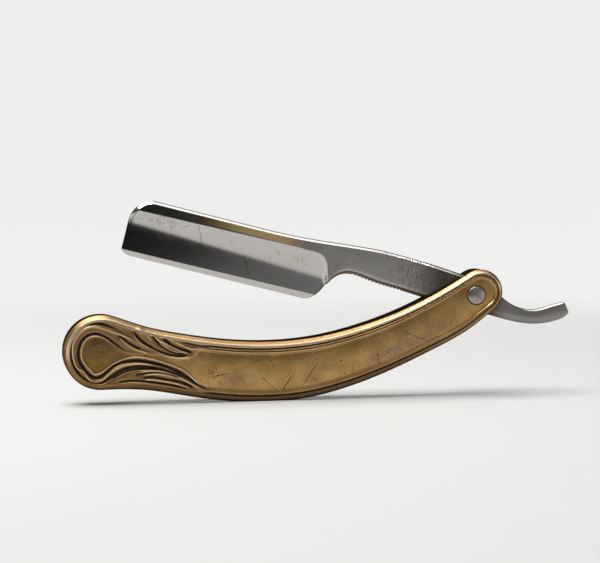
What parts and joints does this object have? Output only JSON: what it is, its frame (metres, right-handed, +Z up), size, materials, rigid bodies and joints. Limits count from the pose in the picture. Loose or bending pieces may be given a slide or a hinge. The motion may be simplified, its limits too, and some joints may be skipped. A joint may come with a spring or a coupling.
{
  "type": "straight razor",
  "caption": "Folding straight razor: hollow-ground steel blade with filed tang and swept-up tail, pivoting between two curved brass scales with a round, leaf-carved bulb end.",
  "frame": {"origin": "middle of the footprint, on the surface that the razor stands on", "axes": "+X along the razor from the bulb to the tail, +Y through its thickness from the front scale to the rear one, +Z up"},
  "size_m": [0.1912, 0.0132, 0.073],
  "materials": {
    "blade_steel": "worn polish, hollow ground, darkened tang",
    "scale_brass": "aged antique satin, blackened grooves",
    "liner_black": "blackened, dull",
    "wedge_brass": "aged satin",
    "pin_steel": "worn, peened",
    "washer_brass": "aged",
    "collar_iron": "oxidised dark"
  },
  "bodies": {
    "handle": {"front_scale": "scale_brass", "rear_scale": "scale_brass", "front_liner": "liner_black", "rear_liner": "liner_black", "wedge": "wedge_brass", "wedge_pin": "wedge_brass", "pivot_pin": "pin_steel", "front_washer": "washer_brass", "rear_washer": "washer_brass", "front_collar": "collar_iron", "rear_collar": "collar_iron"},
    "blade": {"razor_blade": "blade_steel"}
  },
  "joints": [
    {"name": "blade_pivot", "type": "hinge", "parent": "handle", "child": "blade", "pos_m": [0.0573, 0, 0.03755], "axis": [0, 1, 0], "range_deg": [-20, 250]}
  ]
}
